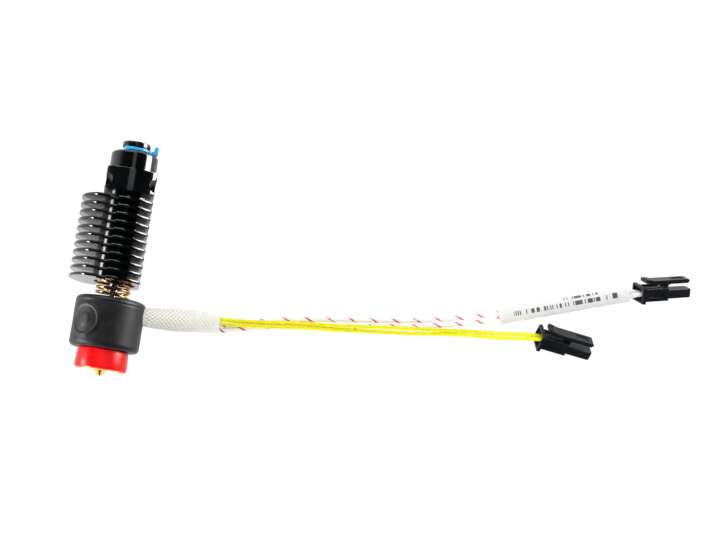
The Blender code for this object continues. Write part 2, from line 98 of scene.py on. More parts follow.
# Nozzle, sock and filament path.
BORE_R = 0.95
NOZZLE_R = 3.4
NOZZLE_TOP = station_span("nozzle")[1]
FLANGE_R = reach("nozzle")
HEX_R = 5.8
CONE_R = 2.15
SOCK_R = reach("nozzle_sock")
SOCK_BOTTOM, SOCK_TOP = station_span("nozzle_sock")
HEATBREAK_R = 1.45
HEATBREAK_HEAD_R = reach("heatbreak")
HEATBREAK_BOTTOM, HEATBREAK_TOP = station_span("heatbreak")
HEATBREAK_HEAD_BOTTOM = 36.8
GAP = 0.3  # between neighbouring pieces

# Heater core.
CORE_R = reach("core_shell")
CORE_BOTTOM, CORE_TOP = station_span("core_shell")
CORE_EDGE = 1.4
CORE_WALL = 2.5
PORT_STATION = 20.4
PORT_R = 3.3
EMBLEM_R = 5.5
EMBLEM_RAISE = 0.35
EMBLEM_ANGLE = math.radians(41.0)

# Heatsink.
FIN_COUNT = 11
FIN_BOTTOM = station_span("heatsink")[0]
FIN_PITCH = 2.533
FIN_THICKNESS = 1.0
FIN_R = 11.0
LOBE_R = 14.4
SIDE_CUT_X = 7.9
FIN_NOTCH = (-5.7, -3.0)  # left and right side of the slot beside each lobe
FIN_NOTCH_FLOOR = 8.2
COLUMN_R = 7.2
NECK_BOTTOM, NECK_TOP = 57.56, station_span("heatsink")[1]
NECK_DEPTH = 11.0
NECK_CROWN_R = 13.3
NECK_EDGE = 1.3
POCKET_R = 6.4
POCKET_TOP = 35.8
NECK_NOTCH_X = 7.85
NECK_NOTCH_STATION = 60.65
NECK_NOTCH_R = 2.1
NECK_NOTCH_LEDGE_Y = 3.5

# Spring, tube coupling and clip.
SPRING_R = 5.1
SPRING_WIRE_R = 0.48
SPRING_TURNS = 5
SPRING_SPAN = (24.8, 35.0)
COLLAR_R = reach("coupling_collar")
COLLAR_TOP = station_span("coupling_collar")[1]
SPIGOT_R = 5.0
SPIGOT_BOTTOM = station_span("coupling_collar")[0]
TUBE_R = 2.15
STEM_R = 3.05
HEAD_R = reach("collet")
HEAD_BOTTOM, HEAD_TOP = 73.2, station_span("collet")[1]
CLIP_BOTTOM, CLIP_TOP = station_span("collet_clip")[0], 72.95
CLIP_R = 5.2
CLIP_TAIL_X = reach("collet_clip")
CLIP_TAIL_HALF = 2.0
CLIP_TAB_TOP = station_span("collet_clip")[1]

# Braided sleeve: a centre route with a radius at each point, as distance from the axis, station, height.
SLEEVE = [
    ((10.0, 20.4, 11.0), 2.95),
    ((12.5, 20.45, 10.75), 3.1),
    ((16.0, 20.8, 9.3), 3.35),
    ((20.0, 21.3, 7.2), 3.65),
    ((24.5, 21.9, 5.2), 3.75),
    ((29.5, 22.4, 4.0), 3.5),
    ((34.8, 22.7, 3.6), 3.4),
]
BRAID_STRANDS = 16  # each way round
BRAID_ANGLE = math.radians(42.0)
YARN_HALF, YARN_THICK, YARN_WEAVE = 0.43, 0.15, 0.17  # half width, half thickness, rise over the others

# Leads, as distance from the axis, station, height above the bench.
HEATER_WIRE_R = 0.85
SENSOR_WIRE_R = 0.65
TRACER_PITCH = 7.3
HEATER_ROUTE_A = [
    (35.2, 22.6, 2.9), (39.5, 23.3, 1.9), (45.3, 25.0, 1.1), (52.4, 26.8, 0.95), (61.5, 28.6, 0.95),
    (74.7, 30.5, 0.95), (89.5, 32.6, 0.95), (99.9, 34.3, 0.95), (108.3, 36.0, 1.05), (117.7, 38.2, 1.5),
    (127.7, 40.8, 2.3), (141.5, 45.4, 3.1), (156.1, 50.2, 3.95), (170.7, 55.05, 4.7), (173.2, 55.5, 4.3),
    (175.0, 55.5, 4.0), (178.4, 56.3, 3.65),
]
HEATER_ROUTE_B = [
    (35.2, 20.7, 2.9), (39.7, 21.6, 1.9), (45.5, 23.1, 1.1), (52.6, 24.8, 0.95), (61.7, 26.7, 0.95),
    (75.0, 28.4, 0.95), (89.7, 30.6, 0.95), (100.1, 32.3, 0.95), (108.6, 34.0, 1.05), (118.0, 36.2, 1.5),
    (128.3, 38.85, 2.3), (142.1, 43.45, 3.1), (156.7, 48.25, 3.95), (171.3, 53.15, 4.85), (173.3, 54.0, 5.55),
    (175.3, 54.75, 5.85), (178.8, 55.55, 5.5),
]
SENSOR_ROUTE_A = [
    (35.2, 24.2, 4.6), (40.1, 24.6, 3.4), (46.7, 25.3, 2.9), (53.2, 26.0, 2.8), (61.4, 27.1, 2.8),
    (74.7, 28.3, 2.8), (89.4, 30.1, 2.65), (100.0, 31.3, 2.35), (108.7, 32.3, 1.6), (118.4, 33.5, 1.2),
    (127.9, 34.2, 1.9), (135.9, 35.0, 3.4), (141.7, 35.3, 4.3), (145.2, 34.9, 4.0),
]
SENSOR_ROUTE_B = [
    (35.2, 22.8, 5.2), (40.3, 23.2, 3.9), (46.9, 23.95, 2.95), (53.4, 24.65, 2.8), (61.6, 25.75, 2.75),
    (75.0, 27.0, 2.2), (89.9, 28.7, 1.2), (100.5, 29.9, 0.8), (109.0, 31.1, 0.8), (118.6, 32.15, 1.2),
    (128.1, 32.75, 2.1), (136.0, 33.5, 4.1), (141.7, 34.0, 5.8), (145.2, 33.6, 5.55),
]
INSIDE_SLEEVE = 4.0  # how far each lead is drawn back into the sleeve's mouth
LABEL_START = (128.0, 39.8, 2.3)
LABEL_END = (171.6, 54.33, 4.85)
LABEL_OUTER = (2.8, 2.0)
LABEL_INNER = (2.35, 1.55)

# Connectors: the middle of the rear mouth, then heading from +X, dip of the nose and lean of the latch side.
HEATER_CONNECTOR = ((175.15, 55.13, 4.95), 13.1, 5.9, 22.6)
SENSOR_CONNECTOR = ((141.7, 34.69, 5.08), -6.4, 4.9, 40.3)
FLANGE = ((0.0, -4.0, -2.9), (1.2, 4.0, 2.9))
BODY = ((0.8, -2.85, -2.4), (10.4, 2.85, 2.0))
NOSE = ((10.0, -2.15, -1.9), (19.3, 2.15, 1.1))
WEB = ((9.0, -1.2, 0.8), (11.0, 1.2, 2.95))
MOUTH = ((-0.5, -3.3, -2.2), (0.9, 3.3, 2.2))
CAVITY = ((0.0, -2.3, -1.8), (4.2, 2.3, 1.4))
KEEL = ((1.1, -1.4, -2.75), (9.6, 1.4, -2.3))
TERMINAL_PITCH = 2.0
CHANNEL = ((4.0, -0.8, -1.2), (20.0, 0.8, 0.4))  # at each terminal, as the lock window
LOCK_WINDOW = ((13.0, -0.35, -2.6), (16.4, 0.35, -1.0))
RIB_Y = 2.0
RIB = ((1.1, -0.3, 1.9), (8.4, 0.3, 2.5))  # at each RIB_Y
SIDE_GROOVE_Y = 2.85
SIDE_GROOVE = ((3.2, -0.22, -1.1), (8.6, 0.22, 0.7))
NOSE_RELIEF_Y = 2.15
NOSE_RELIEF = ((18.75, -0.25, -2.0), (19.5, 0.25, 1.2))
LATCH_HALF_WIDTH = 2.2
LATCH_OUTLINE = [
    (1.9, 3.9), (3.2, 3.8), (4.6, 3.3), (9.0, 3.3), (9.0, 3.05), (11.0, 3.05), (11.0, 3.3), (18.0, 3.3),
    (18.7, 4.3), (18.2, 4.7), (5.2, 4.7), (3.4, 5.1), (1.9, 5.2),
]
LATCH_WINDOW = ((12.2, -1.0, 4.45), (16.6, 1.0, 5.0))
THUMB_GROOVE = ((0.0, -1.7, 4.95), (0.28, 1.7, 5.6))
THUMB_GROOVE_STEPS = (2.2, 2.75, 3.3)

# Camera: its place over the hotend, the point on the bench that it looks at, its roll and its lens.
EYE = AXIS + Vector((0.0, -27.02, 455.52)) * MM
AIM = Vector((AXIS.x + 79.25 * MM, AXIS.y + 48.11 * MM, 0.0))
ROLL = math.radians(7.835)
LENS = 71.66


# ---------------------------------------------------------------- drawing helpers


def in_row(point):
    """Distance from the axis, station and height above the bench, as a row-frame point in metres."""
    return Vector((AXIS.x + point[0] * MM, AXIS.y + point[1] * MM, point[2] * MM))


def arc(radius, first, last, count, centre=(0.0, 0.0)):
    angles = [math.radians(first + (last - first) * i / count) for i in range(count + 1)]
    return [(centre[0] + radius * math.cos(a), centre[1] + radius * math.sin(a)) for a in angles]


def softened(outline, size, closed=True, steps=3):
    """Rounds an outline's corners by the given size along both sides, and leaves its arcs alone."""
    found = []
    for i, corner in enumerate(outline):
        here = Vector(corner)
        back = Vector(outline[i - 1]) - here
        on = Vector(outline[(i + 1) % len(outline)]) - here
        if not closed and i in (0, len(outline) - 1) or back.angle(on) > math.pi - 0.3:
            found.append(tuple(here))
            continue
        start = here + back.normalized() * min(size, back.length * 0.45)
        end = here + on.normalized() * min(size, on.length * 0.45)
        for k in range(steps + 1):
            t = k / steps
            found.append(tuple(start * (1 - t) ** 2 + here * 2 * t * (1 - t) + end * t**2))
    return found


def spun(profile, steps=96, closed=True):
    """Turns (radius, station) points round the local Z axis."""
    form = bmesh.new()
    corners = [form.verts.new((radius, 0.0, station)) for radius, station in profile]
    ends = corners[1:] + corners[:1] if closed else corners[1:]
    edges = [form.edges.new(pair) for pair in zip(corners, ends)]
    bmesh.ops.spin(
        form, geom=corners + edges, axis=(0, 0, 1), cent=(0, 0, 0), angle=TAU, steps=steps, use_merge=True)
    bmesh.ops.remove_doubles(form, verts=form.verts, dist=1e-4)
    bmesh.ops.recalc_face_normals(form, faces=form.faces)
    return form


def slab(outline, low, high, edge, form=None):
    """A flat outline given a thickness along local Z, with its two rims rounded."""
    form = form or bmesh.new()
    base = form.faces.new([form.verts.new((x, y, low)) for x, y in outline])
    raised = bmesh.ops.extrude_face_region(form, geom=[base])["geom"]
    lifted = [item for item in raised if isinstance(item, bmesh.types.BMVert)]
    bmesh.ops.translate(form, verts=lifted, vec=(0, 0, high - low))
    own = {vert for vert in base.verts} | set(lifted)
    rims = [e for e in form.edges if set(e.verts) <= own and abs(e.verts[0].co.z - e.verts[1].co.z) < 1e-6]
    bmesh.ops.bevel(
        form, geom=rims, offset=edge, offset_type="OFFSET", segments=2, profile=0.5,
        affect="EDGES", material=-1, clamp_overlap=True)
    bmesh.ops.recalc_face_normals(form, faces=form.faces)
    return form


def block(corners, x=0.0, y=0.0):
    """A box from its low to its high corner, moved by x and y."""
    form = bmesh.new()
    low, high = (Vector(corner) + Vector((x, y, 0.0)) for corner in corners)
    bmesh.ops.create_cube(
        form, size=1.0, matrix=Matrix.Translation((low + high) / 2) @ Matrix.Diagonal((*(high - low), 1.0)))
    return form


def pin(radius, start, end, sides=48):
    """A round bar between two points."""
    form = bmesh.new()
    start, end = Vector(start), Vector(end)
    along = end - start
    place = Matrix.Translation((start + end) / 2) @ along.to_track_quat("Z", "Y").to_matrix().to_4x4()
    bmesh.ops.create_cone(
        form, cap_ends=True, segments=sides, radius1=radius, radius2=radius, depth=along.length, matrix=place)
    return form


def as_object(name, form, place):
    """The drawn form as an object in the row frame, with its place in its mesh."""
    bmesh.ops.transform(form, matrix=place, verts=form.verts)
    mesh = bpy.data.meshes.new(name)
    form.to_mesh(mesh)
    form.free()
    obj = bpy.data.objects.new(name, mesh)
    SCENE.collection.objects.link(obj)
    return obj


def baked(obj):
    """The object with its modifiers made permanent."""
    bpy.context.view_layer.update()
    graph = bpy.context.evaluated_depsgraph_get()
    mesh = bpy.data.meshes.new_from_object(obj.evaluated_get(graph), depsgraph=graph)
    obj.modifiers.clear()
    obj.data = mesh
    return obj


def combined(obj, steps, place):
    """Joins forms to the object or cuts them from it, and removes them."""
    helpers = []
    for operation, form in steps:
        helper = as_object("helper", form, place)
        helper.hide_render = True
        helpers.append(helper)
        change = obj.modifiers.new(operation.lower(), "BOOLEAN")
        change.operation = operation
        change.solver = "EXACT"
        change.object = helper
    baked(obj)
    for helper in helpers:
        bpy.data.objects.remove(helper, do_unlink=True)
    return obj


def rounded(obj, width, angle=40.0):
    """Rounds the sharp edges that are left, in millimetres."""
    edge = obj.modifiers.new("soft_edges", "BEVEL")
    edge.width = width * MM
    edge.segments = 2
    edge.limit_method = "ANGLE"
    edge.angle_limit = math.radians(angle)
    edge.use_clamp_overlap = True
    return obj


def dressed(obj, material, body, node, sharp=35.0, even=False):
    """Shades the piece, gives it its finish, ties it to its body and hides the CAD node it stands for."""
    obj.data.materials.clear()
    obj.data.materials.append(material)
    obj.data.shade_smooth()
    obj.data.set_sharp_from_angle(angle=math.radians(sharp))
    if even:
        flatten = obj.modifiers.new("even_shading", "WEIGHTED_NORMAL")
        flatten.keep_sharp = True
        flatten.weight = 100
    if body:
        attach(obj, body)
    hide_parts(node)
    return obj


def smooth_route(points, spacing):
    """A smooth curve through the points, read at even steps of about the spacing."""
    ends = [2 * points[0] - points[1], 2 * points[-1] - points[-2]]
    route = [ends[0], *points, ends[1]]
    fine = []
    for before, start, end, after in zip(route, route[1:], route[2:], route[3:]):
        for k in range(20):
            t = k / 20
            fine.append(0.5 * (
                2 * start + (end - before) * t + (2 * before - 5 * start + 4 * end - after) * t**2
                + (3 * start - before - 3 * end + after) * t**3
            ))
    fine.append(points[-1].copy())
    lengths = [0.0]
    for start, end in zip(fine, fine[1:]):
        lengths.append(lengths[-1] + (end - start).length)
    count = max(2, round(lengths[-1] / spacing))
    found, i = [], 0
    for k in range(count + 1):
        want = lengths[-1] * k / count
        while i < len(lengths) - 2 and lengths[i + 1] < want:
            i += 1
        share = (want - lengths[i]) / max(lengths[i + 1] - lengths[i], 1e-12)
        found.append(fine[i].lerp(fine[i + 1], min(1.0, share)))
    return found


def path_length(points):
    return sum((end - start).length for start, end in zip(points, points[1:]))


def swept(name, points, radius, resolution=5):
    """A round tube along points in metres, as a mesh with its length along U of its UV map."""
    curve = bpy.data.curves.new(name, "CURVE")
    curve.dimensions = "3D"
    curve.bevel_depth = radius * MM
    curve.bevel_resolution = resolution
    curve.use_fill_caps = True
    spline = curve.splines.new("POLY")
    spline.points.add(len(points) - 1)
    for point, place in zip(spline.points, points):
        point.co = (*place, 1.0)
    drawn = bpy.data.objects.new(name + "_line", curve)
    SCENE.collection.objects.link(drawn)
    bpy.context.view_layer.update()
    graph = bpy.context.evaluated_depsgraph_get()
    mesh = bpy.data.meshes.new_from_object(drawn.evaluated_get(graph), depsgraph=graph)
    bpy.data.objects.remove(drawn, do_unlink=True)
    form = bmesh.new()
    form.from_mesh(mesh)
    bmesh.ops.remove_doubles(form, verts=form.verts, dist=MERGE)
    form.to_mesh(mesh)
    form.free()
    mesh.name = name
    obj = bpy.data.objects.new(name, mesh)
    SCENE.collection.objects.link(obj)
    return obj


# ---------------------------------------------------------------- finishes


class Finish:
    """A Principled material and short ways to add nodes to it."""

    def __init__(self, name, color, roughness, metallic=0.0, ior=1.5):
        self.material = bpy.data.materials.new(name)
        self.material.use_nodes = True
        self.tree = self.material.node_tree
        self.shader = self.tree.nodes["Principled BSDF"]
        self.color = color
        self.set("Base Color", (*color, 1.0))
        self.set("Roughness", roughness)
        self.set("Metallic", metallic)
        self.set("IOR", ior)
        self.place = self.node("ShaderNodeTexCoord").outputs["Object"]

    def set(self, socket, value):
        self.shader.inputs[socket].default_value = value
        return self

    def node(self, kind, **settings):
        made = self.tree.nodes.new(kind)
        for key, value in settings.items():
            setattr(made, key, value)
        return made

    def link(self, output, node, socket):
        self.tree.links.new(output, node.inputs[socket])

    def noise(self, size_mm, detail=3.0, stretch=(1.0, 1.0, 1.0), source=None):
        """Noise with features of about this size. The stretch makes them longer along an axis."""
        mapping = self.node("ShaderNodeMapping")
        mapping.inputs["Scale"].default_value = [1.0 / (size_mm * MM * s) for s in stretch]
        self.link(source or self.place, mapping, "Vector")
        made = self.node("ShaderNodeTexNoise")
        made.inputs["Scale"].default_value = 1.0
        made.inputs["Detail"].default_value = detail
        self.link(mapping.outputs["Vector"], made, "Vector")
        return made.outputs["Fac"]

    def spread(self, value, low, high, first=0.3, last=0.7):
        """Maps a noise value to a range of numbers."""
        made = self.node("ShaderNodeMapRange")
        made.inputs["From Min"].default_value = first
        made.inputs["From Max"].default_value = last
        made.inputs["To Min"].default_value = low
        made.inputs["To Max"].default_value = high
        self.link(value, made, "Value")
        return made.outputs["Result"]

    def maths(self, operation, first, second=0.0):
        """A Math node on one or two values, each a plain number or a socket."""
        made = self.node("ShaderNodeMath", operation=operation)
        for i, value in enumerate((first, second)):
            if isinstance(value, (int, float)):
                made.inputs[i].default_value = value
            else:
                self.tree.links.new(value, made.inputs[i])
        return made.outputs[0]

    def blend(self, share, first, second):
        """Mixes two colours, each a plain colour or a socket, by a share."""
        made = self.node("ShaderNodeMix", data_type="RGBA")
        self.tree.links.new(share, made.inputs[0])
        for socket, value in ((6, first), (7, second)):
            if isinstance(value, tuple):
                made.inputs[socket].default_value = (*value, 1.0)
            else:
                self.tree.links.new(value, made.inputs[socket])
        return made.outputs[2]

    def mottle(self, size_mm, change, **kind):
        """Varies the base colour by a share of itself."""
        share = self.spread(self.noise(size_mm, **kind), 0.0, 1.0)
        darker = tuple(c * (1 - change) for c in self.color)
        lighter = tuple(min(1.0, c * (1 + change)) for c in self.color)
        color = self.blend(share, darker, lighter)
        self.link(color, self.shader, "Base Color")
        return self

    def uneven_gloss(self, size_mm, low, high, **kind):
        """Varies the roughness between two values."""
        self.link(self.spread(self.noise(size_mm, **kind), low, high), self.shader, "Roughness")
        return self

    def bump(self, height, depth_mm):
        """Adds a relief of this depth over what the shader already has."""
        made = self.node("ShaderNodeBump")
        made.inputs["Strength"].default_value = 1.0
        made.inputs["Distance"].default_value = depth_mm * MM
        self.link(height, made, "Height")
        if self.shader.inputs["Normal"].is_linked:
            self.link(self.shader.inputs["Normal"].links[0].from_socket, made, "Normal")
        self.link(made.outputs["Normal"], self.shader, "Normal")
        return self


def black_anodised_finish(name="black_anodised_aluminium"):
    """Dyed, sealed aluminium: a glossy film over a fine blasted surface with faint turning lines."""
    finish = Finish(name, (0.0015, 0.002, 0.0023), 0.1, ior=1.5)
    finish.mottle(2.5, 0.25)
    finish.uneven_gloss(0.9, 0.07, 0.13)
    finish.bump(finish.noise(0.09, detail=2.0), 0.0008)
    finish.bump(finish.noise(0.22, stretch=(12.0, 1.0, 12.0)), 0.0006)
    return finish.material


def notch_shade_finish():
    """The same dye on the walls of the neck's notches, made rougher and far less reflective as painted shade
    that darkens these recesses.
    """
    finish = Finish("notch_painted_shade_aluminium", (0.002, 0.0024, 0.0026), 0.55, ior=1.2)
    finish.bump(finish.noise(0.15, stretch=(6.0, 6.0, 1.0)), 0.004)
    return finish.material


def turned_brass_finish():
    finish = Finish("turned_brass", (0.86, 0.58, 0.13), 0.1, metallic=1.0)
    finish.mottle(1.2, 0.12)
    finish.uneven_gloss(0.5, 0.07, 0.14)
    finish.bump(finish.noise(0.08, stretch=(10.0, 1.0, 10.0)), 0.0015)
    return finish.material


def bright_steel_finish():
    finish = Finish("bright_steel", (0.72, 0.72, 0.71), 0.16, metallic=1.0)
    finish.uneven_gloss(0.6, 0.1, 0.24)
    finish.bump(finish.noise(0.1, stretch=(10.0, 1.0, 10.0)), 0.003)
    return finish.material


def copper_wire_finish():
    finish = Finish("copper_spring_wire", (0.5, 0.26, 0.09), 0.16, metallic=1.0)
    finish.mottle(1.0, 0.2)
    finish.uneven_gloss(0.4, 0.12, 0.22)
    finish.bump(finish.noise(0.3), 0.002)
    return finish.material


def core_silicone_finish():
    """Soft black moulding with a bloom of dust on it."""
    finish = Finish("black_core_silicone", (0.004, 0.0038, 0.005), 0.5, ior=1.3)
    dust = finish.spread(finish.noise(0.35, detail=5.0), 0.0, 1.0, 0.62, 0.8)
    clouds = finish.spread(finish.noise(3.0), 0.0, 1.0)
    base = finish.blend(clouds, (0.0042, 0.004, 0.0052), (0.0062, 0.006, 0.0074))
    finish.link(finish.blend(dust, base, (0.03, 0.029, 0.033)), finish.shader, "Base Color")
    finish.uneven_gloss(1.5, 0.42, 0.5)
    finish.bump(finish.noise(0.14, detail=4.0), 0.006)
    finish.set("Sheen Weight", 0.03).set("Sheen Roughness", 0.4)
    return finish.material


def red_silicone_finish():
    finish = Finish("red_sock_silicone", (1.0, 0.0, 0.002), 0.28, ior=1.29)
    finish.mottle(2.0, 0.1)
    finish.uneven_gloss(2.5, 0.27, 0.31)
    finish.bump(finish.noise(0.2, detail=3.0), 0.004)
    finish.set("Subsurface Weight", 0.25).set("Subsurface Radius", (1.0, 0.15, 0.1))
    finish.set("Subsurface Scale", 0.0008)
    return finish.material


def black_plastic_finish():
    finish = Finish("black_collet_plastic", (0.003, 0.003, 0.0035), 0.14, ior=1.5)
    finish.mottle(1.0, 0.2)
    finish.uneven_gloss(0.7, 0.1, 0.2)
    finish.bump(finish.noise(0.35, detail=4.0), 0.02)
    return finish.material


def blue_plastic_finish():
    finish = Finish("blue_clip_plastic", (0.0, 0.42, 0.95), 0.26, ior=1.45)
    finish.mottle(1.5, 0.08)
    finish.uneven_gloss(0.8, 0.25, 0.36)
    finish.bump(finish.noise(0.2), 0.003)
    finish.set("Subsurface Weight", 0.2).set("Subsurface Radius", (0.2, 0.6, 1.0))
    finish.set("Subsurface Scale", 0.0006)
    return finish.material


def nylon_finish():
    """Dark grey moulded nylon with a fine spark-eroded grain."""
    finish = Finish("dark_connector_nylon", (0.0025, 0.0042, 0.0065), 0.36, ior=1.26)
    finish.mottle(1.6, 0.18)
    finish.uneven_gloss(0.8, 0.3, 0.42)
    finish.bump(finish.noise(0.16, detail=3.0), 0.006)
    finish.set("Sheen Weight", 0.03).set("Sheen Roughness", 0.5)
    return finish.material


def braid_finish():
    """Glass-fibre yarn: off-white strands with fine filaments, a little dust, and painted shade from the
    yarns' painted light attribute.
    """
    finish = Finish("woven_glass_fibre", (0.9, 0.885, 0.82), 0.7, ior=1.4)
    # Painted light: a per-corner attribute that darkens the yarn where it passes under others and on its
    # inner side.
    painted_light = finish.node("ShaderNodeAttribute", attribute_name="painted_light").outputs["Fac"]
    painted_shade_and_mottle = finish.maths("MULTIPLY", painted_light, finish.spread(finish.noise(0.5), 0.85, 1.15))
    # Painted shade: the colour blends towards a dark greenish grey where the painted light is low, mottled by
    # random noise.
    shade = finish.blend(finish.spread(painted_shade_and_mottle, 0.0, 1.0, 0.1, 0.85), (0.44, 0.44, 0.37), finish.color)
    finish.link(shade, finish.shader, "Base Color")
    finish.bump(finish.noise(0.09, detail=4.0), 0.02)
    finish.set("Sheen Weight", 0.3).set("Sheen Roughness", 0.35)
    return finish.material


def heater_wire_finish(turns):
    """White insulation with a broken red tracer that winds round it."""
    finish = Finish("white_insulation_red_tracer", (0.82, 0.815, 0.8), 0.33, ior=1.45)
    uv = finish.node("ShaderNodeUVMap", uv_map="UVMap").outputs["UV"]
    parts = finish.node("ShaderNodeSeparateXYZ")
    finish.link(uv, parts, "Vector")
    along = finish.maths("MULTIPLY", parts.outputs["X"], turns)
    winding = finish.maths("FRACT", finish.maths("SUBTRACT", along, parts.outputs["Y"]))
    ragged = finish.maths("MULTIPLY", finish.noise(0.5, detail=4.0), 0.06)
    edge = finish.maths("ABSOLUTE", finish.maths("SUBTRACT", finish.maths("ADD", winding, ragged), 0.5))
    stripe = finish.spread(edge, 1.0, 0.0, 0.05, 0.075)
    worn = finish.spread(finish.noise(0.9, detail=3.0), 0.35, 1.0, 0.36, 0.5)
    share = finish.maths("MULTIPLY", stripe, worn)
    white = finish.blend(finish.spread(finish.noise(3.0), 0.0, 1.0), (0.89, 0.885, 0.88), (0.93, 0.925, 0.92))
    finish.link(finish.blend(share, white, (0.62, 0.012, 0.03)), finish.shader, "Base Color")
    finish.uneven_gloss(1.2, 0.28, 0.4)
    finish.bump(finish.noise(0.5), 0.008)
    return finish.material


def yellow_wire_finish():
    finish = Finish("yellow_insulation", (0.86, 0.81, 0.0), 0.26, ior=1.45)
    finish.mottle(2.5, 0.05)
    finish.uneven_gloss(1.0, 0.2, 0.32)
    finish.bump(finish.noise(0.5), 0.006)
    return finish.material


def label_finish():
    """Clouded shrink tube with a plain row of printed bars."""
    finish = Finish("clouded_label_tube", (0.93, 0.93, 0.92), 0.3, ior=1.4)
    uv = finish.node("ShaderNodeUVMap", uv_map="UVMap").outputs["UV"]
    parts = finish.node("ShaderNodeSeparateXYZ")
    finish.link(uv, parts, "Vector")
    along, across = parts.outputs["X"], parts.outputs["Y"]

    def row(pitch, share, middle, half, first, last):
        cells = finish.node("ShaderNodeTexWhiteNoise", noise_dimensions="1D")
        finish.link(finish.maths("FLOOR", finish.maths("MULTIPLY", along, pitch)), cells, "W")
        bars = finish.maths("GREATER_THAN", cells.outputs["Value"], share)
        off_middle = finish.maths("ABSOLUTE", finish.maths("SUBTRACT", across, middle))
        wide = finish.maths("LESS_THAN", off_middle, half)
        after = finish.maths("GREATER_THAN", along, first)
        before = finish.maths("LESS_THAN", along, last)
        span = finish.maths("MULTIPLY", after, before)
        return finish.maths("MULTIPLY", finish.maths("MULTIPLY", bars, wide), span)

    ink = finish.maths("MAXIMUM", row(2.7, 0.5, 0.0, 0.75, 5.0, 38.5), row(2.7, 0.55, 2.0, 0.4, 22.0, 37.5))
    ink = finish.maths("MAXIMUM", ink, row(0.55, 0.0, 0.2, 0.95, 40.0, 41.8))
    ink = finish.maths("MULTIPLY", ink, finish.spread(finish.noise(0.25), 0.8, 1.0))
    finish.link(finish.blend(ink, (0.93, 0.93, 0.92), (0.006, 0.006, 0.008)), finish.shader, "Base Color")
    finish.link(finish.spread(ink, 0.72, 1.0, 0.0, 1.0), finish.shader, "Alpha")
    finish.uneven_gloss(1.2, 0.22, 0.4)
    finish.bump(finish.noise(1.6), 0.05)
    return finish.material


def ceramic_finish():
    finish = Finish("pressed_ceramic", (0.78, 0.76, 0.7), 0.75)
    finish.mottle(0.8, 0.1)
    finish.bump(finish.noise(0.15), 0.02)
    return finish.material


# ---------------------------------------------------------------- nozzle and heater core


def make_nozzle_tip(brass):
    profile = softened([
        (BORE_R, NOZZLE_TOP), (NOZZLE_R, NOZZLE_TOP), (NOZZLE_R, SOCK_TOP), (HEX_R, SOCK_TOP), (HEX_R, 2.9),
        (FLANGE_R, 2.9), (FLANGE_R, 1.8), (CONE_R, 1.8), (0.55, 0.0), (0.2, 0.0), (0.2, 1.2), (BORE_R, 3.0),
    ], 0.12)
    tip = as_object("nozzle_tip", spun(profile, 96), AXIS_PLACE)
    dressed(tip, brass, "nozzle", "nozzle", even=True)


def make_nozzle_boot(red):
    """The silicone sock: a slightly swollen cup with soft lips."""
    profile = softened([
        (HEX_R + GAP, SOCK_TOP), (SOCK_R - 0.3, SOCK_TOP), (SOCK_R - 0.12, 6.2), (SOCK_R - 0.03, 4.4),
        (SOCK_R, 2.7), (SOCK_R - 0.2, SOCK_BOTTOM), (FLANGE_R + GAP, SOCK_BOTTOM), (FLANGE_R + GAP, 3.2),
        (HEX_R + GAP, 3.2),
    ], 0.3, steps=4)
    form = spun(profile, 128)
    for vert in form.verts:
        wave = noise.noise(vert.co * 0.45) * 0.07
        if vert.co.z < SOCK_BOTTOM + 0.9:
            vert.co.z += max(0.0, wave) * 1.6
    boot = as_object("nozzle_boot", form, AXIS_PLACE)
    dressed(boot, red, "nozzle", "nozzle_sock", sharp=60)


def make_heatbreak_tube(steel):
    profile = softened([
        (BORE_R, HEATBREAK_TOP), (HEATBREAK_HEAD_R, HEATBREAK_TOP), (HEATBREAK_HEAD_R, HEATBREAK_HEAD_BOTTOM),
        (HEATBREAK_R, HEATBREAK_HEAD_BOTTOM), (HEATBREAK_R, HEATBREAK_BOTTOM), (BORE_R, HEATBREAK_BOTTOM),
    ], 0.15)
    tube = as_object("heatbreak_tube", spun(profile, 64), AXIS_PLACE)
    dressed(tube, steel, "nozzle", "heatbreak", even=True)


def pad_height(distance):
    """Height of the plain round pad on the core at a distance from its middle, in millimetres."""
    def step(value):
        value = max(0.0, min(1.0, value))
        return value * value * (3 - 2 * value)
    rim = step((EMBLEM_R - distance) / 0.45)
    dish = step((EMBLEM_R - 1.0 - distance) / 0.35) * 0.22
    crown = step((2.6 - distance) / 1.4) * 0.16
    return (EMBLEM_RAISE * rim - dish + crown) if distance < EMBLEM_R else 0.0


def cover_relief(place):
    """How far the cover's skin stands out at a place: its pad, port lip, rim groove and slight unevenness."""
    turn = math.atan2(-place.x, -place.y)  # 0 straight up, positive towards the left
    across = (turn - EMBLEM_ANGLE) * CORE_R
    relief = pad_height(math.hypot(across, place.z - (CORE_BOTTOM + CORE_TOP) / 2))
    port = math.hypot((turn + math.pi / 2) * CORE_R, place.z - PORT_STATION)
    relief += 0.1 * max(0.0, 1 - abs(port - PORT_R - 0.35) / 0.55)
    rim = max(0.0, 1 - abs(place.z - (CORE_TOP - CORE_EDGE - 0.5)) / 0.3)
    return relief + -0.1 * rim + 0.05 * noise.noise(place * 0.22)


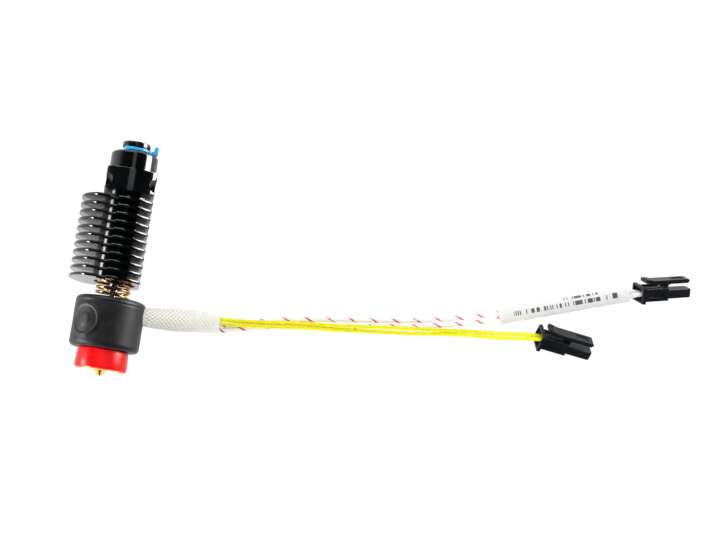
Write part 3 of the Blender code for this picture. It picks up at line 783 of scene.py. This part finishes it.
def make_core_cover(black):
    """The heater core's soft shell, with a plain pad on its left shoulder and a lip round the cable port."""
    inner = CORE_R - CORE_WALL
    centre_r = CORE_R - CORE_EDGE
    rings = 72
    side = [(CORE_R, CORE_TOP - CORE_EDGE - (CORE_TOP - CORE_BOTTOM - 2 * CORE_EDGE) * k / rings)
            for k in range(1, rings)]
    profile = [
        (6.3, CORE_TOP), (7.4, CORE_TOP), (8.4, CORE_TOP),
        *arc(CORE_EDGE, 90, 0, 8, (centre_r, CORE_TOP - CORE_EDGE)),
        *side, *arc(CORE_EDGE, 0, -90, 8, (centre_r, CORE_BOTTOM + CORE_EDGE)), (8.3, CORE_BOTTOM),
        (3.8, CORE_BOTTOM), (3.8, 9.2), (inner, 9.2), (inner, 23.0), (6.3, 23.0),
    ]
    form = spun(profile, 224)
    for vert in form.verts:
        radius = math.hypot(vert.co.x, vert.co.y)
        if radius < CORE_R - CORE_EDGE - 0.2:
            continue
        factor = (radius + cover_relief(vert.co)) / radius
        vert.co.x *= factor
        vert.co.y *= factor
    cover = as_object("core_cover", form, AXIS_PLACE)
    port_cut = pin(PORT_R, (7.0, 0.0, PORT_STATION), (14.0, 0.0, PORT_STATION))
    combined(cover, [("DIFFERENCE", port_cut)], AXIS_PLACE)
    dressed(cover, black, "heater_core", "core_shell", sharp=50)


def make_spring_coil(copper):
    """A compression spring whose pitch varies a little along it."""
    low, high = SPRING_SPAN
    points = []
    per_turn = 36
    count = SPRING_TURNS * per_turn
    for i in range(count + 1):
        t = i / count
        eased = t + 0.035 * math.sin(TAU * t * 2)
        station = low + (high - low) * min(1.0, max(0.0, eased))
        turn = TAU * i / per_turn
        points.append(in_row((SPRING_R * math.cos(turn), station, AXIS.z / MM + SPRING_R * math.sin(turn))))
    coil = swept("spring_coil", points, SPRING_WIRE_R, resolution=5)
    dressed(coil, copper, None, "core_spring", sharp=60)
    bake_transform(coil)


# ---------------------------------------------------------------- heatsink and tube coupling


def fin_outline():
    """The fins seen along the axis: round on the right with a side cut, a flat-sided lobe on the left."""
    right = math.degrees(math.acos(SIDE_CUT_X / FIN_R))
    notch_left, notch_right = FIN_NOTCH
    notch = math.degrees(math.acos(notch_right / FIN_R))
    lobe = 180 - math.degrees(math.asin(FIN_R / LOBE_R))
    upper = arc(FIN_R, right, notch, 24) + [
        (notch_right, FIN_NOTCH_FLOOR), (notch_left, FIN_NOTCH_FLOOR), (notch_left, FIN_R),
    ]
    tip = arc(LOBE_R, lobe, 360 - lobe, 40)
    return softened(upper + tip + [(x, -y) for x, y in reversed(upper)], 0.25, steps=2)


def neck_outline():
    """The neck seen along the axis: flat sides, and a crown above and below."""
    reach_angle = math.degrees(math.asin(SIDE_CUT_X / NECK_CROWN_R))
    offset = NECK_CROWN_R - NECK_DEPTH
    front = arc(NECK_CROWN_R, -90 - reach_angle, -90 + reach_angle, 28, (0.0, offset))
    back = arc(NECK_CROWN_R, 90 - reach_angle, 90 + reach_angle, 28, (0.0, -offset))
    return softened(front + back, NECK_EDGE, steps=6)


def make_heatsink_body(anodised, notch_shade):
    """Fins, column and notched neck joined in one piece, then bored from both ends."""
    fins = bmesh.new()
    for i in range(FIN_COUNT):
        low = FIN_BOTTOM + i * FIN_PITCH
        slab(fin_outline(), low, low + FIN_THICKNESS, 0.28, fins)
    body = as_object("heatsink_body", fins, AXIS_PLACE)
    column = spun([
        (0.0, NECK_BOTTOM + 0.5), (COLUMN_R, NECK_BOTTOM + 0.5), (COLUMN_R, FIN_BOTTOM + 0.2),
        (0.0, FIN_BOTTOM + 0.2),
    ], 128, closed=False)
    neck = as_object("neck", slab(neck_outline(), NECK_BOTTOM, NECK_TOP, 0.22), AXIS_PLACE)
    cuts = []
    for side in (-NECK_NOTCH_X, NECK_NOTCH_X):
        ends = (side, -20.0, NECK_NOTCH_STATION), (side, NECK_NOTCH_LEDGE_Y, NECK_NOTCH_STATION)
        cuts.append(("DIFFERENCE", pin(NECK_NOTCH_R, *ends, 64)))
    combined(neck, cuts, AXIS_PLACE)
    rounded(neck, 0.16, 50)
    baked(neck)
    bore = spun([
        (0.0, 66.0), (SPIGOT_R + GAP, 66.0), (SPIGOT_R + GAP, SPIGOT_BOTTOM - GAP),
        (2.2, SPIGOT_BOTTOM - GAP), (2.2, 46.4), (HEATBREAK_HEAD_R + GAP, 46.4),
        (HEATBREAK_HEAD_R + GAP, POCKET_TOP), (POCKET_R, POCKET_TOP), (POCKET_R, FIN_BOTTOM + 0.25),
        (POCKET_R + 0.35, FIN_BOTTOM - 0.1), (POCKET_R + 0.35, FIN_BOTTOM - 1.0), (0.0, FIN_BOTTOM - 1.0),
    ], 128, closed=False)
    joined = bmesh.new()
    joined.from_mesh(neck.data)
    bpy.data.objects.remove(neck, do_unlink=True)
    bmesh.ops.transform(joined, matrix=AXIS_PLACE.inverted(), verts=joined.verts)
    combined(body, [("UNION", column), ("UNION", joined), ("DIFFERENCE", bore)], AXIS_PLACE)
    dressed(body, anodised, "heatsink", "heatsink", sharp=38, even=True)
    # Painted shade: the notch walls get the weaker, rougher reflection that darkens them.
    body.data.materials.append(notch_shade)
    to_axis = AXIS_PLACE.inverted()
    for face in body.data.polygons:
        x, _, station = to_axis @ face.center
        if math.hypot(abs(x) - NECK_NOTCH_X, station - NECK_NOTCH_STATION) < NECK_NOTCH_R + 0.02:
            face.material_index = 1


def make_coupling_body(anodised):
    """The round collar on the neck, with its spigot down into it."""
    profile = softened([
        (STEM_R + GAP, COLLAR_TOP), (COLLAR_R - 0.7, COLLAR_TOP), (COLLAR_R, COLLAR_TOP - 0.7),
        (COLLAR_R, NECK_TOP + GAP), (SPIGOT_R, NECK_TOP + GAP), (SPIGOT_R, SPIGOT_BOTTOM),
        (2.2, SPIGOT_BOTTOM), (2.2, 62.5), (4.2, 62.5), (4.2, 67.5), (STEM_R + GAP, 68.0),
    ], 0.14)
    collar = as_object("coupling_body", spun(profile, 144), AXIS_PLACE)
    dressed(collar, anodised, "heatsink", "coupling_collar", even=True)


def make_collet_body(plastic):
    """The collet: a head to press on, and a stem split into springy fingers."""
    profile = softened([
        (TUBE_R, HEAD_TOP), (HEAD_R - 0.2, HEAD_TOP), (HEAD_R, HEAD_TOP - 0.3), (HEAD_R, HEAD_BOTTOM + 0.1),
        (HEAD_R - 0.25, HEAD_BOTTOM), (STEM_R, HEAD_BOTTOM), (STEM_R, 64.6), (TUBE_R, 64.6),
    ], 0.18)
    profile = [(TUBE_R + 0.35, HEAD_TOP), *profile[1:-1], (TUBE_R, 64.6), (TUBE_R, HEAD_TOP - 0.4)]
    collet = as_object("collet_body", spun(profile, 112), AXIS_PLACE)
    slits = [("DIFFERENCE", block(((-3.6, -0.25, 64.0), (3.6, 0.25, 70.0)))),
             ("DIFFERENCE", block(((-0.25, -3.6, 64.0), (0.25, 3.6, 70.0))))]
    combined(collet, slits, AXIS_PLACE)
    dressed(collet, plastic, "collet", "collet", even=True)


def make_retaining_clip(blue):
    """The horseshoe clip under the collet's head, with an upstanding finger tab."""
    slot = STEM_R + GAP
    tail = math.degrees(math.asin(CLIP_TAIL_HALF / CLIP_R))
    prong = 180 - math.degrees(math.asin(slot / CLIP_R))
    outline = softened([
        (CLIP_TAIL_X, -CLIP_TAIL_HALF), (CLIP_TAIL_X, CLIP_TAIL_HALF), *arc(CLIP_R, tail, prong, 20),
        *arc(slot, 90, -90, 24), *arc(CLIP_R, -prong, -tail, 20),
    ], 0.4)
    clip = as_object("retaining_clip", slab(outline, CLIP_BOTTOM, CLIP_TOP, 0.14), AXIS_PLACE)
    tab_x = CLIP_TAIL_X - 1.2
    rise = softened([
        (tab_x - 1.4, CLIP_BOTTOM + 0.1), (CLIP_TAIL_X, CLIP_BOTTOM + 0.1), (CLIP_TAIL_X, CLIP_TAB_TOP),
        (tab_x, CLIP_TAB_TOP), (tab_x - 0.1, CLIP_TOP + 0.3), (tab_x - 1.4, CLIP_TOP - 0.1),
    ], 0.28)
    tab = slab(rise, -CLIP_TAIL_HALF, CLIP_TAIL_HALF, 0.12)
    bmesh.ops.rotate(tab, verts=tab.verts, cent=(0, 0, 0), matrix=Matrix.Rotation(math.pi / 2, 3, "X"))
    combined(clip, [("UNION", tab)], AXIS_PLACE)
    dressed(clip, blue, "collet_clip", "collet_clip", even=True)


# ---------------------------------------------------------------- sleeve, leads and label


def sleeve_radius(x):
    """Outer radius of the sleeve at a distance from the axis, in millimetres."""
    places = [(place[0], radius) for place, radius in SLEEVE]
    for (x0, r0), (x1, r1) in zip(places, places[1:]):
        if x <= x1:
            t = max(0.0, min(1.0, (x - x0) / (x1 - x0)))
            return r0 + (r1 - r0) * t * t * (3 - 2 * t)
    return places[-1][1]


def sleeve_frames(inset):
    """Places down the sleeve: middle, side, up, along, radius less the inset, and how far a yarn turned."""
    centre = smooth_route([in_row(place) for place, _ in SLEEVE], 0.13 * MM)
    frames, angle, last = [], 0.0, None
    for i, here in enumerate(centre):
        along = (centre[min(i + 1, len(centre) - 1)] - centre[max(i - 1, 0)]).normalized()
        side = Vector((0.0, 0.0, 1.0)).cross(along).normalized()
        upward = along.cross(side)
        radius = sleeve_radius((here.x - AXIS.x) / MM)
        if last is not None:
            angle += (here - last).length / MM * math.tan(BRAID_ANGLE) / radius
        frames.append((here, side, upward, along, radius - inset, angle))
        last = here
    return frames


def yarn_ring(form, painted_light, sleeve_frame, way, strand, share):
    """One six-sided section of a yarn, and the painted light of each of its corners: painted shade where the
    yarn dips under the others and on its inner side, and lighter towards the sleeve's mouth.
    """
    here, side, upward, along, radius, angle = sleeve_frame
    turn = way * angle + TAU * strand / BRAID_STRANDS
    out = side * math.cos(turn) + upward * math.sin(turn)
    round_way = upward * math.cos(turn) - side * math.sin(turn)
    wide = (round_way * math.cos(BRAID_ANGLE) - along * way * math.sin(BRAID_ANGLE)).normalized()
    over = way * math.cos(BRAID_STRANDS * angle)
    lift = radius + YARN_WEAVE * over
    base = here + out * lift * MM
    ring = []
    for a, b in ((1, 0), (0.6, 1), (-0.6, 1), (-1, 0), (-0.6, -1), (0.6, -1)):
        drop = (a * YARN_HALF) ** 2 / (2 * max(lift, 1.0)) * (math.cos(BRAID_ANGLE) ** 2)
        corner = form.verts.new(base + wide * a * YARN_HALF * MM + out * (b * YARN_THICK - drop) * MM)
        # Painted shade: darker on the yarn's inner side and where it dips under the others, lighter towards
        # the sleeve's mouth.
        facing_out = 1.0 if b > 0 else 0.3
        corner[painted_light] = (0.6 + 0.35 * over) * facing_out + 0.3 * share
        ring.append(corner)
    return ring


def make_sleeve_braid(fibre):
    """Flat yarns wound both ways round the sleeve's route, each passing over and under the others."""
    frames = sleeve_frames(YARN_THICK + YARN_WEAVE)
    form = bmesh.new()
    # A per-corner layer of painted light for the braid's finish.
    painted_light = form.verts.layers.float.new("painted_light")
    for way in (1, -1):
        for strand in range(BRAID_STRANDS):
            rings = [yarn_ring(form, painted_light, sleeve_frame, way, strand, i / len(frames))
                     for i, sleeve_frame in enumerate(frames)]
            for ring, following in zip(rings, rings[1:]):
                for k in range(6):
                    m = (k + 1) % 6
                    form.faces.new((ring[k], ring[m], following[m], following[k]))
            form.faces.new(rings[0])
            form.faces.new(reversed(rings[-1]))
    bmesh.ops.recalc_face_normals(form, faces=form.faces)
    braid = as_object("sleeve_braid", form, Matrix.Identity(4))
    return dressed(braid, fibre, "heater_core", "braided_sleeve", sharp=70)


def make_lead(name, node, route, radius, finish):
    """One insulated wire, drawn from inside the sleeve's mouth to its connector."""
    mouth = in_row(SLEEVE[-1][0])
    places = [in_row(place) for place in route]
    inside = places[0] + (in_row(SLEEVE[-2][0]) - mouth).normalized() * INSIDE_SLEEVE * MM
    inside = inside.lerp(mouth + (inside - places[0]), 0.25)  # a little towards the sleeve's middle
    points = smooth_route([inside, *places], radius * 1.1 * MM)
    length = path_length(points)
    lead = swept(name, points, radius, resolution=6)
    dressed(lead, finish(length), "heater_core", node, sharp=60)
    return lead, points, length


def label_place():
    """The label tube's place, with X across, Y up and Z along it, and its length in millimetres."""
    start, end = in_row(LABEL_START), in_row(LABEL_END)
    along = (end - start).normalized()
    across = Vector((0.0, 0.0, 1.0)).cross(along).normalized()
    turn = Matrix((across, along.cross(across), along)).transposed().to_4x4()
    return Matrix.Translation(start) @ turn @ Matrix.Scale(MM, 4), (end - start).length / MM


def make_label_tube(clouded):
    """An oval shrink tube over the heater leads, with its own UV map in millimetres."""
    place, length = label_place()
    form = bmesh.new()
    layer = form.loops.layers.uv.new("UVMap")
    rings, sides = 84, 48
    walls = []
    for outer in (True, False):
        a, b = LABEL_OUTER if outer else LABEL_INNER
        wall = []
        for i in range(rings + 1):
            z = length * i / rings
            pinch = 1 + 0.02 * math.sin(z * 0.9) + 0.03 * noise.noise(Vector((z * 0.35, 0.0, 3.0)))
            pinch -= 0.03 if 0.8 < z < length - 0.8 else 0.0
            wide, tall = a * pinch, b * pinch
            turns = [TAU * k / sides for k in range(sides)]
            wall.append([form.verts.new((wide * math.cos(t), tall * math.sin(t), z)) for t in turns])
        walls.append(wall)
        for i in range(rings):
            for k in range(sides):
                m = (k + 1) % sides
                quad = (wall[i][k], wall[i][m], wall[i + 1][m], wall[i + 1][k])
                form.faces.new(quad if outer else quad[::-1])
    for i in (0, rings):
        for k in range(sides):
            m = (k + 1) % sides
            quad = (walls[0][i][k], walls[1][i][k], walls[1][i][m], walls[0][i][m])
            form.faces.new(quad if i == 0 else quad[::-1])
    bmesh.ops.recalc_face_normals(form, faces=form.faces)
    for face in form.faces:
        printed = face.calc_center_median().y > 0
        for loop in face.loops:
            loop[layer].uv = (loop.vert.co.z, loop.vert.co.x if printed else 9.0)
    tube = as_object("label_tube", form, place)
    return dressed(tube, clouded, "heater_core", "label_sleeve", sharp=50)


# ---------------------------------------------------------------- connectors


def connector_place(pose):
    """X runs from the rear mouth to the nose and Z to the latch side."""
    mouth, heading, dip, lean = pose
    heading, dip, lean = (math.radians(a) for a in (heading, dip, lean))
    along = Vector((math.cos(heading) * math.cos(dip), math.sin(heading) * math.cos(dip), -math.sin(dip)))
    level = Vector((-math.sin(heading), math.cos(heading), 0.0))
    latch = level * math.cos(lean) + along.cross(level) * math.sin(lean)
    turn = Matrix((along, latch.cross(along), latch)).transposed().to_4x4()
    return Matrix.Translation(in_row(mouth)) @ turn @ Matrix.Scale(MM, 4)


def make_connector_housing(kind, place, nylon):
    """A two-way housing: rear frame, body, stepped nose, keying ribs and a channel for each terminal."""
    housing = as_object(kind + "_plug_housing", block(BODY), place)
    half = TERMINAL_PITCH / 2
    joins = [block(FLANGE), block(NOSE), block(WEB), block(RIB, y=-RIB_Y), block(RIB, y=RIB_Y), block(KEEL)]
    cuts = [block(MOUTH), block(CAVITY)]
    for y in (-half, half):
        cuts += [block(CHANNEL, y=y), block(LOCK_WINDOW, y=y)]
    for side in (-1, 1):
        cuts += [block(SIDE_GROOVE, y=side * SIDE_GROOVE_Y), block(NOSE_RELIEF, y=side * NOSE_RELIEF_Y)]
    steps = [("UNION", form) for form in joins] + [("DIFFERENCE", form) for form in cuts]
    combined(housing, steps, place)
    rounded(housing, 0.13)
    return dressed(
        housing, nylon, "heater_core", kind + "_connector_housing", even=True)


def make_connector_latch(kind, place, nylon):
    """The latch arm: a plate on a web, with a thumb rest at the back and a hook at the front."""
    outline = softened(LATCH_OUTLINE, 0.22, steps=3)
    form = slab(outline, -LATCH_HALF_WIDTH, LATCH_HALF_WIDTH, 0.16)
    bmesh.ops.rotate(form, verts=form.verts, cent=(0, 0, 0), matrix=Matrix.Rotation(math.pi / 2, 3, "X"))
    latch = as_object(kind + "_plug_latch", form, place)
    grooves = [("DIFFERENCE", block(THUMB_GROOVE, x=step)) for step in THUMB_GROOVE_STEPS]
    combined(latch, grooves + [("DIFFERENCE", block(LATCH_WINDOW))], place)
    return dressed(
        latch, nylon, kind + "_latch", kind + "_connector_latch", even=True)


# ---------------------------------------------------------------- stage


def area_light(name, place, look_at, size, radiance, glossy=True, diffuse=True):
    """A soft rectangular lamp, as wide and tall as size in metres."""
    lamp = bpy.data.lights.new(name, "AREA")
    lamp.shape = "RECTANGLE"
    lamp.size, lamp.size_y = size
    lamp.energy = radiance * math.pi * size[0] * size[1]
    obj = bpy.data.objects.new(name, lamp)
    SCENE.collection.objects.link(obj)
    obj.location = place
    obj.rotation_mode = "QUATERNION"
    obj.rotation_quaternion = (Vector(look_at) - Vector(place)).to_track_quat("-Z", "Y")
    obj.visible_glossy = glossy
    obj.visible_diffuse = diffuse
    obj.visible_camera = False
    return obj


def make_floor():
    floor_mesh = bpy.data.meshes.new("floor")
    form = bmesh.new()
    bmesh.ops.create_grid(form, x_segments=1, y_segments=1, size=3.0)
    form.to_mesh(floor_mesh)
    form.free()
    floor = bpy.data.objects.new("floor", floor_mesh)
    SCENE.collection.objects.link(floor)
    pale = Finish("pale_floor", (0.35, 0.35, 0.35), 0.9)
    pale.set("Emission Color", (1.0, 1.0, 1.0, 1.0)).set("Emission Strength", 0.82)
    pale.set("Specular IOR Level", 0.0)
    floor.data.materials.append(pale.material)


def make_room():
    """A room whose light fades from the bench's level to the ceiling, and towards the near side."""
    world = bpy.data.worlds.new("studio")
    SCENE.world = world
    world.use_nodes = True
    nodes, links = world.node_tree.nodes, world.node_tree.links
    place = nodes.new("ShaderNodeTexCoord")
    parts = nodes.new("ShaderNodeSeparateXYZ")
    links.new(place.outputs["Generated"], parts.inputs["Vector"])
    ramp = nodes.new("ShaderNodeValToRGB")
    ramp.color_ramp.elements[0].position = 0.0
    ramp.color_ramp.elements[0].color = (1.0, 1.0, 1.0, 1.0)
    ramp.color_ramp.elements[1].position = 1.0
    ramp.color_ramp.elements[1].color = (0.02, 0.024, 0.024, 1.0)
    for position, level in ((0.2, 0.9), (0.38, 0.25), (0.58, 0.03), (0.94, 0.02)):
        element = ramp.color_ramp.elements.new(position)
        element.color = (level, level, level, 1.0)
    links.new(parts.outputs["Z"], ramp.inputs["Fac"])
    near_side = nodes.new("ShaderNodeMapRange")
    near_side.inputs["From Min"].default_value = -0.9
    near_side.inputs["From Max"].default_value = -0.45
    near_side.inputs["To Min"].default_value = 0.05
    near_side.inputs["To Max"].default_value = 1.0
    links.new(parts.outputs["Y"], near_side.inputs["Value"])
    links.new(ramp.outputs["Color"], nodes["Background"].inputs["Color"])
    links.new(near_side.outputs["Result"], nodes["Background"].inputs["Strength"])


def make_lamps():
    area_light("overhead", (0.06, 0.05, 1.0), (0.09, 0.0, 0.01), (1.4, 1.4), 1.85, glossy=False)
    slot = area_light(
        "overhead_slot", (AXIS.x, 0.45, 0.9), (AXIS.x, 0.4, 0.0), (0.24, 0.56), 1.15, diffuse=False)
    slot.data.color = (0.84, 1.0, 0.98)
    area_light("right_strip", (0.75, 0.45, 0.2), (0.0, 0.08, 0.0), (0.6, 0.56), 26.0, diffuse=False)
    area_light("right_fill", (0.75, -0.1, 0.2), (0.0, 0.0, 0.0), (0.9, 0.4), 0.3)
    area_light("left_strip", (-0.5, -0.23, 0.075), (0.0, -0.03, 0.015), (0.5, 0.15), 32.0)
    area_light("far_strip", (-0.3, 0.62, 0.42), (-0.3, 0.0, 0.02), (0.64, 0.3), 9.0, diffuse=False)
    area_light("far_fill", (0.08, 0.65, 0.26), (0.05, 0.0, 0.02), (1.0, 0.25), 2.2, glossy=False)
    area_light("near_fill", (0.08, -0.6, 0.3), (0.05, 0.0, 0.02), (0.9, 0.3), 0.8, glossy=False)


def make_camera():
    lens = bpy.data.cameras.new("camera")
    lens.lens = LENS
    lens.sensor_width = 36.0
    lens.clip_start, lens.clip_end = 0.01, 10.0
    camera = bpy.data.objects.new("camera", lens)
    SCENE.collection.objects.link(camera)
    back = (EYE - AIM).normalized()
    right = Vector((0.0, 1.0, 0.0)).cross(back).normalized()
    turn = Matrix((right, back.cross(right), back)).transposed() @ Matrix.Rotation(ROLL, 3, "Z")
    camera.matrix_world = Matrix.Translation(EYE) @ turn.to_4x4()
    SCENE.camera = camera


# ---------------------------------------------------------------- the whole object

SCENE.view_settings.view_transform = "Standard"
make_camera()
make_floor()
make_room()
make_lamps()

BRASS = turned_brass_finish()
STEEL = bright_steel_finish()
ANODISED = black_anodised_finish()
NYLON = nylon_finish()
CERAMIC = ceramic_finish()
YELLOW = yellow_wire_finish()

make_nozzle_tip(BRASS)
make_nozzle_boot(red_silicone_finish())
make_heatbreak_tube(STEEL)
make_core_cover(core_silicone_finish())
make_spring_coil(copper_wire_finish())
make_heatsink_body(ANODISED, notch_shade_finish())
make_coupling_body(ANODISED)
make_collet_body(black_plastic_finish())
make_retaining_clip(blue_plastic_finish())

BRAID = make_sleeve_braid(braid_finish())
LABEL = make_label_tube(label_finish())
for kind, pose, routes, radius, material_slot, finish in (
    ("heater", HEATER_CONNECTOR, (HEATER_ROUTE_A, HEATER_ROUTE_B), HEATER_WIRE_R, "white_wire",
     lambda length: heater_wire_finish(length / MM / TRACER_PITCH)),
    ("sensor", SENSOR_CONNECTOR, (SENSOR_ROUTE_A, SENSOR_ROUTE_B), SENSOR_WIRE_R, "yellow_wire",
     lambda length: YELLOW),
):
    plug_place = connector_place(pose)
    plug = [make_connector_housing(kind, plug_place, NYLON), make_connector_latch(kind, plug_place, NYLON)]
    plug += [frame["nodes"][f"{kind}_terminal_{way}"] for way in "ab"]
    if kind == "heater":
        plug += [LABEL, BRAID]
    for way, route in zip("ab", routes):
        lead, path, length = make_lead(
            f"{kind}_lead_{way}", f"{kind}_wire_{way}", route, radius, finish)

for node, material in (
    ("core_tube", BRASS), ("heater_element", CERAMIC), ("core_insulator", CERAMIC),
    ("temperature_sensor", STEEL), ("spring_seat", STEEL), ("cable_ferrule", STEEL),
    ("collet_teeth", STEEL), ("heater_terminal_a", BRASS), ("heater_terminal_b", BRASS),
    ("sensor_terminal_a", BRASS), ("sensor_terminal_b", BRASS),
):
    frame["nodes"][node].material_slots[0].material = material
